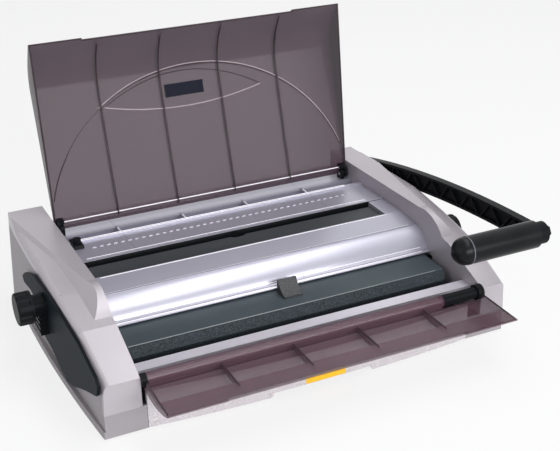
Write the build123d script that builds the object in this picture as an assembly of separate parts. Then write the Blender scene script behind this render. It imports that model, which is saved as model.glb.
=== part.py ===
from build123d import *
import os
from math import cos, pi, radians, sin, sqrt, tan

# A desktop punch and wire binding machine for legal size paper, 40 holes along its long edge.
# x runs along the paper edge, y from front to rear, z up from the table. Sizes in millimetres.

# Case
case_half_depth = 170.5
side_half_width = 243.3
side_widest_y = 45.0
side_bow_radius = 2254.0
side_draft = 3.2
case_floor_gap = 2.0
wall = 2.5
part_gap = 0.3
fine_gap = 0.15

# End caps, measured about the middle of the paper path
machine_middle_x = 4.0
cap_inner_half = 196.5
tower_top = 109.5
rail_top = 105.5
rail_fall_y = 20.0
ridge_drop = 11.5
cap_front_top = 62.4
cap_front_bottom = 29.0
cap_front_proud = 1.5

# Deck between the end caps
strip_top = 91.5
strip_front_y = 36.0
strip_rear_y = 86.0
slot_front_y = -7.0
slot_rear_y = 33.0
slot_right_x = 178.0
gutter_floor = 82.0
gutter_rear_y = 113.0
rear_ledge_top = 88.0
deck_lip_y = -72.0
deck_lip_top = 64.5
web_xs = (-120, -38, 44, 126)

# Holes and pins
hole_count = 40
hole_pitch = 8.467
pin_width = 4.0
pin_clearance = 0.1
pin_z = 60.0
throat_front_y = 28.0
throat_width = 5.0
die_thickness = 12.0
stripper_thickness = 14.0
pin_rear_y = -2.0
pin_tip_y = 42.0
punch_bar_depth = 10.0
punch_bar_bottom = 50.0
punch_bar_top = 66.0

# Frame
frame_plate = 3.0
frame_gap = 0.3
pan_bottom = 4.0
pan_thickness = 2.0

# Front rail
rail_front_y = -152.0
rail_rear_y = -137.0
rail_foot = 44.0
rail_top_z = 56.5

# Punch drive
drive_y = 150.0
drive_z = 74.0
drive_shaft_radius = 6.0
running_clearance = 0.08
punch_module = 1.5
punch_teeth = 18
pinion_width = 8.0
pinion_offset = 180.0
pinion_hub_radius = 9.0
tooth_backlash = 0.5

# Wire closing drive
lever_y = -10.0
lever_z = 76.0
closing_tube_radius = 8.0
closing_module = 1.0
closing_teeth = 24
closing_offset = 209.0
closing_width = 5.0
closing_rack_bottom = 56.0

# Lever blade
blade_front_x = -234.7
blade_rear_x = -243.9
blade_front_y = -170.0
blade_rear_y = 65.0
blade_thickness = 3.0

# Lid
lid_hinge_y = 126.0
lid_hinge_z = 95.0
lid_left_x = -189.6
lid_right_x = 199.2
cover_sheet = 2.4
hinge_pin_radius = 2.5
lid_rib_xs = (-111.5, -35, 41, 118)

# Front cover
front_hinge_y = -169.5
front_hinge_z = 57.5
front_barrel_radius = 6.5
front_rod_radius = 3.0
front_edge_y = -234.8
front_edge_z = 55.7
front_fin_xs = (-110, -31, 43, 123)

# Handle
arm_inner_x = 239.0
arm_thickness = 9.3
arm_depth = 22.0
grip_y = -204.0
grip_z = 132.0
grip_radius = 14.75
grip_inner_x = 136.0

# Drawer
drawer_left_x = -187.4
drawer_right_x = 184.4
drawer_top = 44.2
drawer_bow = 9.0

# Knobs
knob_radius = 17.8
knob_length = 17.0
depth_knob_y = -24.0
depth_knob_z = 60.0
knob_shaft_radius = 4.0
size_shaft_end = -244.5
knob_bushing_radius = 9.0

# The whole model is moved by this amount in y, so that the middle of its length lies at y zero.
case_middle_y = 30.4

cap_left_x = machine_middle_x - cap_inner_half
cap_right_x = machine_middle_x + cap_inner_half
pan_top = pan_bottom + pan_thickness
frame_left_x = cap_left_x - wall - frame_gap - frame_plate
frame_right_x = cap_right_x + wall + frame_gap
hole_xs = [machine_middle_x + hole_pitch * (i - (hole_count - 1) / 2) for i in range(hole_count)]
die_half_length = hole_count * hole_pitch / 2 + 4.66
throat_rear_y = throat_front_y + throat_width


def block(x0, x1, y0, y1, z0, z1):
    middle = Pos((x0 + x1) / 2, (y0 + y1) / 2, (z0 + z1) / 2)
    return middle * Box(x1 - x0, y1 - y0, z1 - z0)


def rod(x0, x1, y, z, radius):
    return Pos((x0 + x1) / 2, y, z) * Rot(0, 90, 0) * Cylinder(radius, x1 - x0)


def post(x, y, z0, z1, radius):
    return Pos(x, y, (z0 + z1) / 2) * Cylinder(radius, z1 - z0)


def across(outline, x0, x1):
    """Draws a y, z outline out along x. The outline is a list of points or a face."""
    face = make_face(Polyline(*outline, close=True)) if isinstance(outline, list) else outline
    return extrude(Plane.YZ.offset(x0) * face, amount=x1 - x0)


def outline_of(*lines):
    return make_face([edge for line in lines for edge in line.edges()])


def group(solids):
    return Compound(list(solids))


def mirrored(shape):
    """The other end of the machine: the same form on the far side of its middle."""
    return mirror(shape, about=Plane.YZ.offset(machine_middle_x))


# Case


def bowed_block(inset, low, high, front=-case_half_depth, rear=case_half_depth):
    """The case's outer form: long sides bowed outward and drawn in towards the top."""
    lean = tan(radians(side_draft))
    centre_x = side_half_width - side_bow_radius
    body = block(-300, 300, front, rear, low, high)
    for side in (-1, 1):
        radius = side_bow_radius - inset
        cone = Cone(radius - low * lean, radius - high * lean, high - low)
        body = body & (Pos(side * centre_x, side_widest_y, (low + high) / 2) * cone)
    return body


def rail_line(drop, rear_y=case_half_depth):
    """Top line of the outer rail, from the rear to the front, lowered by a given amount."""
    return [
        (rear_y + 5, rail_top - drop),
        (rail_fall_y, rail_top - drop),
        (-43, 98 - drop),
        (-107, 88 - drop),
        (-case_half_depth - 5, cap_front_top - 2 - drop),
    ]


def below(line, x0, x1):
    return across(line + [(line[-1][0], -10), (line[0][0], -10)], x0, x1)


def tower(inset, case_shift):
    """One end cap's outer form: a low outer rail and a tall inner block with a rounded nose."""
    front = -case_half_depth - cap_front_proud + inset
    body = Pos(case_shift, 0, 0) * bowed_block(inset, 0, 125, front, case_half_depth - inset)
    body = body & block(-300, cap_left_x - inset, -200, 200, 0, 125)
    rail = body & below(rail_line(inset), -300, 0)
    top = tower_top - inset
    nose = ThreePointArc((-45, top), (-84 + inset, 100 - inset), (-99 + inset, 80))
    profile = outline_of(
        Line((case_half_depth, 0), (case_half_depth, top)),
        Line((case_half_depth, top), (-45, top)),
        nose,
        Line((-99 + inset, 80), (-99 + inset, 0)),
        Line((-99 + inset, 0), (case_half_depth, 0)),
    )
    inner = body & across(profile, -300, 0)
    facet_rear = Vector(-219.4, 0.9, 98)
    facet_front = Vector(-199.5, -47, tower_top + 3)
    facet_top = Vector(-209, 12, tower_top + 3)
    normal = (facet_front - facet_top).cross(facet_rear - facet_top).normalized()
    if normal.X > 0:
        normal = -normal
    cutter = Plane(origin=facet_rear - normal * inset, z_dir=normal)
    inner = inner - extrude(cutter * Rectangle(900, 900), amount=120)
    return rail + inner


def side_x(y, z):
    return side_half_width - (y - side_widest_y) ** 2 / (2 * side_bow_radius) - z * tan(radians(side_draft))


def outer_rounding(form, radius, case_shift):
    """Rounds the long outer top edges of an end cap, where the rail meets the bowed side."""
    edges = []
    for edge in form.edges():
        middle = edge.center()
        off_side = abs(case_shift - side_x(middle.Y, middle.Z) - middle.X)
        if off_side < 2.5 and middle.Z > 55 and edge.bounding_box().size.Y > 30:
            edges.append(edge)
    return fillet(edges, radius)


def side_skin(x0, x1):
    outer = bowed_block(0, case_floor_gap, 125)
    inner = bowed_block(wall, case_floor_gap - 1, 126, -200, 200)
    if x0 < 0:
        outer = outer - lever_pocket(0)
        inner = inner - lever_pocket(wall)
    inner = inner + block(-200, 200, -200, 200, 0, 130)
    return (outer - inner) & block(x0, x1, -300, 300, 0, 130)


def lever_plane(offset):
    """The plane of the lever's blade, which lies at a slight angle to the machine's length."""
    run = Vector(blade_rear_x - blade_front_x, blade_rear_y - blade_front_y, 0).normalized()
    inward = Vector(run.Y, -run.X, 0)
    origin = Vector(blade_front_x, blade_front_y, 0) + inward * offset
    return Plane(origin=origin, x_dir=run, z_dir=inward)


def lever_pocket(inset):
    """What the flat pocket behind the lever takes out of the left side, grown by an inset."""
    plane = lever_plane(blade_thickness + 0.6 + inset)
    foot = 10 - inset
    sheet = Pos(-20, (130 + foot) / 2) * Rectangle(560, 130 - foot)
    return extrude(plane * sheet, amount=-40)


def left_side_panel():
    panel = side_skin(-300, -150) & below(rail_line(ridge_drop), -300, 0)
    panel = panel - block(-300, 0, -200, -case_half_depth + wall + fine_gap, cap_front_bottom - part_gap, 130)
    inner_x = drawer_left_x - part_gap
    front = bowed_block(0, case_floor_gap, cap_front_bottom - part_gap)
    front = front & block(-300, inner_x, -case_half_depth, -case_half_depth + wall, 0, 60)
    panel = panel + (front - lever_pocket(0))
    hub = rod(-300, 0, lever_y, lever_z, closing_tube_radius + running_clearance)
    return panel - hub


def right_side_panel():
    panel = side_skin(150, 300) & below(rail_line(ridge_drop), 0, 300)
    panel = panel - block(0, 300, -200, -case_half_depth + wall + fine_gap, cap_front_bottom - part_gap, 130)
    inner_x = drawer_right_x + part_gap
    front = bowed_block(0, case_floor_gap, cap_front_bottom - part_gap)
    front = front & block(inner_x, 300, -case_half_depth, -case_half_depth + wall, 0, 60)
    panel = panel + front
    panel = panel - rod(200, 300, drive_y, drive_z, drive_shaft_radius + 1.5)
    return panel - rod(200, 300, depth_knob_y, depth_knob_z, knob_bushing_radius)


def deck_line():
    """Foot of the end caps' inner walls along the deck, from the rear to the front."""
    return [
        (case_half_depth + 5, 78),
        (gutter_rear_y - 22, 78),
        (gutter_rear_y - 24, 84),
        (slot_front_y, 82),
        (-40, 78),
        (-57, 71),
        (-64, 59.5),
        (-76, 59.5),
        (-76, 30),
        (-case_half_depth - 5, 30),
    ]


def cap(case_shift, rounding):
    """An end cap, drawn at the left, as a moulded shell, open below and notched for what crosses it."""
    form = outer_rounding(tower(0, case_shift), rounding, case_shift)
    hollow = tower(wall, case_shift)
    shell = form - hollow
    skirt = below(rail_line(ridge_drop - fine_gap), -300, cap_left_x - wall - fine_gap)
    skirt = skirt - block(-300, 0, -200, -case_half_depth + wall, -20, 130)
    skirt = skirt - block(-300, 0, case_half_depth - wall, 200, rear_ledge_top + fine_gap, 130)
    side_zone = below(rail_line(ridge_drop - fine_gap), -300, -200)
    side_zone = side_zone - Pos(case_shift, 0, 0) * bowed_block(wall + fine_gap, -20, 130, -200, 200)
    side_zone = side_zone - block(-300, 0, -200, -case_half_depth + wall, -20, 130)
    shell = shell - skirt - side_zone
    shell = shell - block(-300, 0, -200, -case_half_depth + wall + 3, -20, cap_front_bottom)
    shell = shell - below(deck_line(), cap_left_x - wall - 2 * fine_gap, 0)
    shell = shell - block(-300, 0, case_half_depth - wall - fine_gap, 200, -20, rear_ledge_top)
    shell = shell - rod(cap_left_x - 5, cap_left_x + 1, lever_y, lever_z, closing_tube_radius + 1)
    shell = shell - rod(cap_left_x - 5, cap_left_x + 1, drive_y, drive_z, drive_shaft_radius + 1)
    shell = shell - block(
        cap_left_x - wall - 1,
        cap_left_x + 1,
        rail_front_y - part_gap,
        rail_rear_y + part_gap,
        rail_foot - part_gap,
        rail_top_z + part_gap,
    )
    ledge_top = strip_top - wall - part_gap
    ledge = block(cap_left_x - 0.5, cap_left_x + 2, 42, 80, ledge_top - 2.3, ledge_top)
    return shell + ledge


def left_top_cap():
    return cap(0, 7) - lever_pocket(0)


def right_top_cap():
    return mirrored(cap(2 * machine_middle_x, 3.8))



def rear_panel():
    return bowed_block(wall + part_gap, pan_top, rear_ledge_top, case_half_depth - wall, case_half_depth)


def base_pan():
    return bowed_block(wall + part_gap, pan_bottom, pan_top, -165, case_half_depth - wall + 1)


def rubber_feet():
    spots = [(x, y) for x in (-205, 205) for y in (-140, 140)]
    return group(post(x, y, 0, pan_bottom, 9) for x, y in spots)


def frame_outline():
    return [(160, pan_top), (160, 84), (-38, 84), (-48, 48), (rail_front_y, 48), (rail_front_y, pan_top)]


def left_frame_plate():
    plate = across(frame_outline(), frame_left_x, frame_left_x + frame_plate)
    foot = block(frame_left_x - 8, frame_left_x + frame_plate, -150, 160, pan_top, pan_top + 3)
    plate = plate + foot
    plate = plate - rod(-300, 0, drive_y, drive_z, drive_shaft_radius + running_clearance)
    return plate - rod(-300, 0, lever_y, lever_z, closing_tube_radius + running_clearance)


def right_frame_plate():
    return mirrored(left_frame_plate())


# Deck


def deck_region():
    """The deck in section: ledge, gutter, bead, strip, slot, front panel, rounded front and lip."""
    rear = case_half_depth - wall - part_gap
    foot = deck_lip_top - 1
    ridge = (-42, 86.2)
    return outline_of(
        Polyline(
            (rear, foot),
            (rear, rear_ledge_top),
            (gutter_rear_y, rear_ledge_top),
            (gutter_rear_y, gutter_floor),
            (strip_rear_y + 4.5, gutter_floor),
            (strip_rear_y + 4.5, strip_top + 2),
            (strip_rear_y, strip_top + 2),
            (strip_rear_y, strip_top),
            (strip_front_y, strip_top),
            (strip_front_y, strip_top + 1),
            (slot_rear_y, strip_top + 1),
            (slot_rear_y, strip_top - 0.2),
            (slot_front_y, strip_top - 0.7),
            (-40, 86.2),
            (-40, 87.2),
            (-42, 87.2),
            ridge,
        ),
        ThreePointArc(ridge, (-57, 79.5), (-66, 67.5)),
        Polyline((-66, 67.5), (-69, 66.8), (-69, 65.5), (deck_lip_y, deck_lip_top), (deck_lip_y, foot)),
        Line((deck_lip_y, foot), (rear, foot)),
    )


def deck_cover():
    left = cap_left_x + fine_gap
    right = cap_right_x - fine_gap
    region = deck_region()
    hollow = offset(region, -wall, kind=Kind.INTERSECTION)
    shell = across(region, left, right) - across(hollow, left - 1, right + 1)
    shell = shell - block(-300, 300, -63, 200, 0, deck_lip_top - 1 + wall + 0.05)
    shell = shell - block(-300, 300, gutter_rear_y, 200, 0, gutter_floor - wall)
    frame_low = 84.3
    frame = block(left, slot_right_x + wall, slot_front_y - wall, slot_rear_y + wall, frame_low, strip_top - 2)
    shell = shell + frame
    shell = shell - block(left + wall, slot_right_x, slot_front_y, slot_rear_y, 0, 100)
    for x in web_xs:
        web = block(x - 1, x + 1, strip_rear_y + 4.4, gutter_rear_y + 0.1, gutter_floor - 0.1, gutter_floor + 9)
        shell = shell + web
    return shell


def punch_plate():
    plate = block(
        cap_left_x + fine_gap + wall + part_gap,
        slot_right_x - part_gap,
        slot_front_y + part_gap,
        throat_front_y,
        stripper_top,
        stripper_top + 2,
    )
    notch = extrude(Plane.XY.offset(80) * Pos(0, throat_front_y) * Ellipse(9, 4), amount=20)
    return plate - notch


def wire_hooks():
    return group(block(x - 2.1, x + 2.1, 65.5, 66.5, strip_top, strip_top + 0.8) for x in hole_xs)


# Punch


stripper_top = 85.0
die_bottom = 54.0
die_top = 84.0


def pin_holes(y0, y1):
    reach = pin_width / 2 + pin_clearance
    return group(block(x - reach, x + reach, y0, y1, pin_z - reach, pin_z + reach) for x in hole_xs)


def stripper_block():
    left = machine_middle_x - die_half_length
    right = machine_middle_x + die_half_length
    rear = throat_front_y
    front = rear - stripper_thickness
    return block(left, right, front, rear, die_bottom, stripper_top) - pin_holes(front - 1, rear + 1)


def die_block():
    left = machine_middle_x - die_half_length
    right = machine_middle_x + die_half_length
    front = throat_rear_y
    rear = front + die_thickness
    return block(left, right, front, rear, die_bottom, die_top) - pin_holes(front - 1, rear + 1)


def die_end_blocks():
    inner = machine_middle_x - die_half_length
    rear = throat_rear_y + die_thickness
    front = throat_front_y - stripper_thickness
    left = block(frame_left_x + frame_plate, inner, front, rear, 62.5, 80)
    return group([left, mirrored(left)])


def punch_bar():
    half = pinion_offset + pinion_width / 2
    left = machine_middle_x - half
    right = machine_middle_x + half
    return block(left, right, pin_rear_y - punch_bar_depth, pin_rear_y, punch_bar_bottom, punch_bar_top)


def punch_pins():
    half = pin_width / 2
    return group(block(x - half, x + half, pin_rear_y, pin_tip_y, pin_z - half, pin_z + half) for x in hole_xs)


def tooth(module, backlash, root, tip):
    """One straight flanked tooth about the pitch line, standing along +y at x zero."""
    half = pi * module / 4 - backlash / 4
    lean = tan(radians(20))
    low = half + root * lean
    high = half - tip * lean
    return make_face(Polyline((-low, -root), (-high, tip), (high, tip), (low, -root), close=True))


def sector(axis_y, axis_z, module, count, hub_radius, first, teeth, x0, x1, bore):
    """A toothed sector. Its first tooth stands at an angle counted in teeth from straight down."""
    pitch_radius = module * count / 2
    step = 360 / count
    root = 1.2 * module
    body = Circle(hub_radius)
    start = -90 + (first - 0.7) * step
    sweep = (teeth - 1 + 1.4) * step
    wedge = [(0, 0)]
    for i in range(5):
        angle = radians(start + sweep * i / 4)
        wedge.append((40 * cos(angle), 40 * sin(angle)))
    body = body + (Circle(pitch_radius - root + 0.02) & make_face(Polyline(*wedge, close=True)))
    for i in range(teeth):
        angle = -90 + (first + i) * step
        body = body + Rot(0, 0, angle - 90) * Pos(0, pitch_radius) * tooth(module, tooth_backlash, root, 0.8 * module)
    body = body - Circle(bore)
    return extrude(Plane.YZ.offset(x0) * Pos(axis_y, axis_z) * body, amount=x1 - x0)


def toothed_rack(axis_y, pitch_z, module, y0, y1, bottom, first, teeth, x0, x1):
    """A rack with a gap under the sector's lowest tooth. Teeth are counted from that gap."""
    pitch = pi * module
    root = 1.2 * module
    body = Pos((y0 + y1) / 2, (bottom + pitch_z - root) / 2) * Rectangle(y1 - y0, pitch_z - root - bottom)
    for i in range(teeth):
        y = axis_y + (first + i + 0.5) * pitch
        body = body + Pos(y, pitch_z) * tooth(module, tooth_backlash, root + 0.02, 0.8 * module)
    return extrude(Plane.YZ.offset(x0) * body, amount=x1 - x0)


def punch_racks():
    x0 = machine_middle_x - pinion_offset - pinion_width / 2
    pitch_z = drive_z - punch_module * punch_teeth / 2
    rack = toothed_rack(drive_y, pitch_z, punch_module, pin_rear_y, 167, 52, -2, 5, x0, x0 + pinion_width)
    return group([rack, mirrored(rack)])


def rack_guides():
    x0 = frame_left_x + frame_plate
    x1 = machine_middle_x - pinion_offset - pinion_width / 2 - part_gap
    x2 = machine_middle_x - pinion_offset + pinion_width / 2 + part_gap
    guide = block(x0, x2 + 2, 56, 124, 44, 56) - block(x1, x2, 50, 130, 52 - part_gap, 60)
    return group([guide, mirrored(guide)])


def punch_pinions():
    x0 = machine_middle_x - pinion_offset - pinion_width / 2
    pinion = sector(
        drive_y, drive_z, punch_module, punch_teeth, pinion_hub_radius, -1, 6, x0, x0 + pinion_width, drive_shaft_radius
    )
    return group([pinion, mirrored(pinion)])


def drive_shaft():
    return rod(frame_left_x - 4, arm_inner_x + arm_thickness - 3, drive_y, drive_z, drive_shaft_radius)


def shaft_collars():
    left = rod(frame_left_x - 3.6, frame_left_x - 0.3, drive_y, drive_z, 9)
    right = rod(frame_right_x + frame_plate + 0.3, frame_right_x + frame_plate + 3.6, drive_y, drive_z, 9)
    bore = rod(-300, 300, drive_y, drive_z, drive_shaft_radius)
    return group([left - bore, right - bore])


# Handle


def arm_band(inset, y_front):
    """The arm's long curved band, drawn in by an amount, as a face in the y, z plane."""
    rear = Vector(drive_y + 8, 96.9)
    mid = Vector(-13.5, 126.3)
    front = Vector(-190, 138)
    centre, radius = circle_through(rear, mid, front)
    outer = Pos(centre.X, centre.Y) * Circle(radius - inset)
    inner = Pos(centre.X, centre.Y) * Circle(radius - arm_depth + inset)
    strip = Pos((drive_y + y_front) / 2, 100) * Rectangle(drive_y - y_front, 160)
    return (outer - inner) & strip


def circle_through(a, b, c):
    d = 2 * (a.X * (b.Y - c.Y) + b.X * (c.Y - a.Y) + c.X * (a.Y - b.Y))
    squares = [p.X**2 + p.Y**2 for p in (a, b, c)]
    x = (squares[0] * (b.Y - c.Y) + squares[1] * (c.Y - a.Y) + squares[2] * (a.Y - b.Y)) / d
    y = (squares[0] * (c.X - b.X) + squares[1] * (a.X - c.X) + squares[2] * (b.X - a.X)) / d
    return Vector(x, y), sqrt((a.X - x) ** 2 + (a.Y - y) ** 2)


def handle_arm():
    """A curved arm with a rim all round, a thin web and truss ribs on both of its faces."""
    rim = 3.0
    rib = 1.8
    cell = 39.0
    band = arm_band(0, grip_y + 4)
    hub = Pos(drive_y, drive_z) * Circle(22.5)
    tip = Pos(grip_y, grip_z) * Circle(12)
    outline = band + hub + tip
    body = extrude(Plane.YZ.offset(arm_inner_x) * outline, amount=arm_thickness)
    hollow = arm_band(rim, grip_y + 17) - Pos(drive_y, drive_z) * Circle(22.5 + rim)
    centre, radius = circle_through(Vector(drive_y + 8, 96.9), Vector(-13.5, 126.3), Vector(-190, 138))
    ribs = Sketch()
    y = drive_y - 40
    while y > grip_y + 20:
        top = Vector(y, centre.Y + sqrt(radius**2 - (y - centre.X) ** 2))
        low_y = y - cell * 0.55
        low = Vector(low_y, centre.Y + sqrt((radius - arm_depth) ** 2 - (low_y - centre.X) ** 2))
        next_y = y - cell
        after = Vector(next_y, centre.Y + sqrt(radius**2 - (next_y - centre.X) ** 2))
        ribs = ribs + stroke(top, low, rib) + stroke(low, after, rib)
        y = next_y
    pocket = hollow - ribs
    depth = (arm_thickness - 2.4) / 2
    body = body - extrude(Plane.YZ.offset(arm_inner_x - 1) * pocket, amount=depth + 1)
    outer_face = arm_inner_x + arm_thickness
    body = body - extrude(Plane.YZ.offset(outer_face - depth) * pocket, amount=depth + 1)
    return body - rod(arm_inner_x - 1, outer_face - 3, drive_y, drive_z, drive_shaft_radius)


def stroke(a, b, width):
    run = b - a
    middle = (a + b) * 0.5
    angle = Vector(1, 0, 0).get_signed_angle(run, Vector(0, 0, 1))
    return Pos(middle.X, middle.Y) * Rot(0, 0, angle) * Rectangle(run.length + width, width)


def handle_grip():
    outer_x = arm_inner_x
    r = grip_radius
    x = grip_inner_x
    outline = outline_of(
        Line((x, 0), (outer_x, 0)),
        Polyline((outer_x, 0), (outer_x, r - 2.5), (outer_x - 2.5, r), (x + r + 3, r), (x + r + 2.2, r - 0.8)),
        Polyline((x + r + 2.2, r - 0.8), (x + r + 0.8, r - 0.8), (x + r, r)),
        ThreePointArc((x + r, r), (x + r * (1 - sqrt(0.5)), r * sqrt(0.5)), (x, 0)),
    )
    spun = revolve(Plane.XY * outline, axis=Axis.X)
    return Pos(0, grip_y, grip_z) * spun


def grip_bolt():
    face = arm_inner_x + arm_thickness
    hexagon = Plane.YZ.offset(face) * Pos(grip_y, grip_z) * RegularPolygon(7.5, 6)
    return extrude(hexagon, amount=5.5)


# Closing lever


def closing_tube():
    left = blade_rear_x + 2.2
    tube = rod(left, closing_offset + machine_middle_x + 6, lever_y, lever_z, closing_tube_radius)
    return tube - rod(left - 1, 300, lever_y, lever_z, knob_shaft_radius + running_clearance)


def closing_lever():
    """The wide curved blade on the left side, with its hub."""
    plane = lever_plane(0)
    run = plane.x_dir
    outline = [
        (74, 72), (62, 81), (26, 94), (-11.5, 94.5), (-60, 91.7), (-120.5, 84.3), (-166, 70),
        (-171, 62), (-166, 50), (-132, 37), (-96, 21), (-66, 11), (-48, 15), (-20, 25), (14, 30),
        (25, 36), (11, 57), (22, 64), (44, 68), (70, 66),
    ]
    points = [((y - blade_front_y) / run.Y, z) for y, z in outline]
    blade = extrude(plane * make_face(FilletPolyline(*points, radius=3.5, close=True)), amount=blade_thickness)
    hub = rod(-255, blade_front_x - 5.5, lever_y, lever_z, 12) - extrude(plane * Rectangle(900, 900), amount=20)
    index = block(-250, -240, lever_y - 6, lever_y + 26, lever_z - 34, lever_z)
    index = index - extrude(plane * Rectangle(900, 900), amount=20)
    for i in range(4):
        z = lever_z - 31 + 7 * i
        index = index - block(-251, -248.5, lever_y - 7, lever_y + 27, z, z + 3.5)
    body = blade + hub + index
    tube_hole = rod(blade_rear_x + 2.2, -200, lever_y, lever_z, closing_tube_radius)
    return body - rod(-260, -200, lever_y, lever_z, knob_shaft_radius + running_clearance) - tube_hole


def closing_sectors():
    x0 = machine_middle_x - closing_offset - closing_width / 2
    gear = sector(
        lever_y, lever_z, closing_module, closing_teeth, 10, -1, 6, x0, x0 + closing_width, closing_tube_radius
    )
    return group([gear, mirrored(gear)])


def closing_racks():
    x0 = machine_middle_x - closing_offset - closing_width / 2
    pitch_z = lever_z - closing_module * closing_teeth / 2
    rack = toothed_rack(lever_y, pitch_z, closing_module, -56, 10, 52, -2, 7, x0, x0 + closing_width)
    return group([rack, mirrored(rack)])


def closing_rack_guides():
    x0 = machine_middle_x - closing_offset - closing_width / 2
    guide = block(x0 - 3, frame_left_x, -44, -20, 44, 54)
    guide = guide - block(x0 - part_gap, frame_left_x + 1, -50, 0, 52 - part_gap, 60)
    return group([guide, mirrored(guide)])


def closing_crossbar():
    x0 = machine_middle_x - closing_offset - closing_width / 2
    x1 = machine_middle_x + closing_offset + closing_width / 2
    return block(x0, x1, -64, -56, 50, 58)


bar_rear = (-56, 62.4)
bar_crease = (-110, 60.4)


def closing_bar():
    """The dark press bar: a flat top that runs under the deck's lip and a heavy front edge."""
    outline = [
        bar_rear, bar_crease, (-120, 51.5), (-120, 44), (-109, 44), (-109, 54), (-106, 57.4), (-64, 58.6),
        (-64, 58), (-56, 58),
    ]
    bar = across(outline, -186, 192)
    keep = block(-186, 192, -120, 0, 0, 100) - block(186, 200, -130, -114, 0, 100) + Pos(186, -114, 50) * Cylinder(6, 100)
    return bar & keep


def bar_top(y):
    slope = (bar_rear[1] - bar_crease[1]) / (bar_rear[0] - bar_crease[0])
    return bar_crease[1] + slope * (y - bar_crease[0])


def thumb_tab():
    """A concave thumb rest that stands on the press bar just in front of the deck's lip."""
    outline = outline_of(
        Line((-94, bar_top(-94)), (-75, bar_top(-75))),
        Line((-75, bar_top(-75)), (-75, 76)),
        Line((-75, 76), (-78, 76.5)),
        ThreePointArc((-78, 76.5), (-87, 66), (-94, 63)),
        Line((-94, 63), (-94, bar_top(-94))),
    )
    return across(outline, 0, 22)


def front_rail():
    left = frame_left_x + frame_plate
    right = frame_right_x
    rail = block(left, right, rail_front_y, rail_rear_y, rail_foot, rail_top_z)
    return rail - block(left - 1, right + 1, rail_front_y + 3, rail_rear_y - 3, 0, rail_top_z - 3)


# Knobs


def lobed_knob(x0, x1, y, z, face_side):
    """A round knob with eight shallow finger hollows and a rounded outer edge."""
    body = rod(x0, x1, y, z, knob_radius)
    outer = x0 if face_side < 0 else x1
    rim = [e for e in body.edges() if abs(e.center().X - outer) < 0.1]
    body = fillet(rim, 2.5)
    for i in range(8):
        angle = radians(45 * i)
        reach = knob_radius + 5.5
        inner_x0 = x0 - 1 if face_side < 0 else x0 + 3
        inner_x1 = x1 - 3 if face_side < 0 else x1 + 1
        body = body - rod(inner_x0, inner_x1, y + reach * cos(angle), z + reach * sin(angle), 7)
    return body


def size_knob():
    knob = lobed_knob(-272, -272 + knob_length, lever_y, lever_z, -1)
    return knob + rod(-256, size_shaft_end, lever_y, lever_z, knob_shaft_radius)


def depth_knob():
    knob = lobed_knob(267 - knob_length, 267, depth_knob_y, depth_knob_z, 1)
    stub = rod(222, 251, depth_knob_y, depth_knob_z, knob_shaft_radius)
    cam = rod(222, 226, depth_knob_y, depth_knob_z + 1.5, 8)
    return knob + stub + cam


def knob_bushing():
    bushing = rod(226.3, 249.5, depth_knob_y, depth_knob_z, knob_bushing_radius)
    return bushing - rod(200, 300, depth_knob_y, depth_knob_z, knob_shaft_radius + running_clearance)


# Lid


def lid_region():
    """The space between the lid's chord and its panel's front face, as a y, z face."""
    foot = (lid_hinge_y, lid_hinge_z - 1.3)
    bend = (168, 243.5)
    upper = (164.5, 285.5)
    edge = (152.3, 307.8)
    return outline_of(Line(foot, bend), ThreePointArc(bend, (171, 262), upper), Line(upper, edge), Line(edge, foot))


def lid_band(inner, outer):
    """A skin behind the lid's front face, between two distances from it."""
    region = lid_region()
    band = offset(region, outer) - (offset(region, inner) if inner > 0 else region)
    foot = Vector(lid_hinge_y, lid_hinge_z - 1.3)
    edge = Vector(152.3, 307.8)
    run = (edge - foot).normalized()
    middle = (foot + edge) * 0.5
    side = Vector(run.Y, -run.X)
    angle = Vector(1, 0, 0).get_signed_angle(run, Vector(0, 0, 1))
    keep = Pos(middle.X + side.X * 50, middle.Y + side.Y * 50) * Rot(0, 0, angle) * Rectangle(run_length(foot, edge), 100)
    return band & keep


def run_length(a, b):
    return (b - a).length


def lid_plane():
    """The lid's chord plane, with its x along the hinge and its y up the lid."""
    foot = Vector(lid_hinge_y, lid_hinge_z - 1.3)
    run = (Vector(152.3, 307.8) - foot).normalized()
    return Plane(
        origin=(0, foot.X, foot.Y), x_dir=(1, 0, 0), z_dir=Vector(1, 0, 0).cross(Vector(0, run.X, run.Y))
    )


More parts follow.
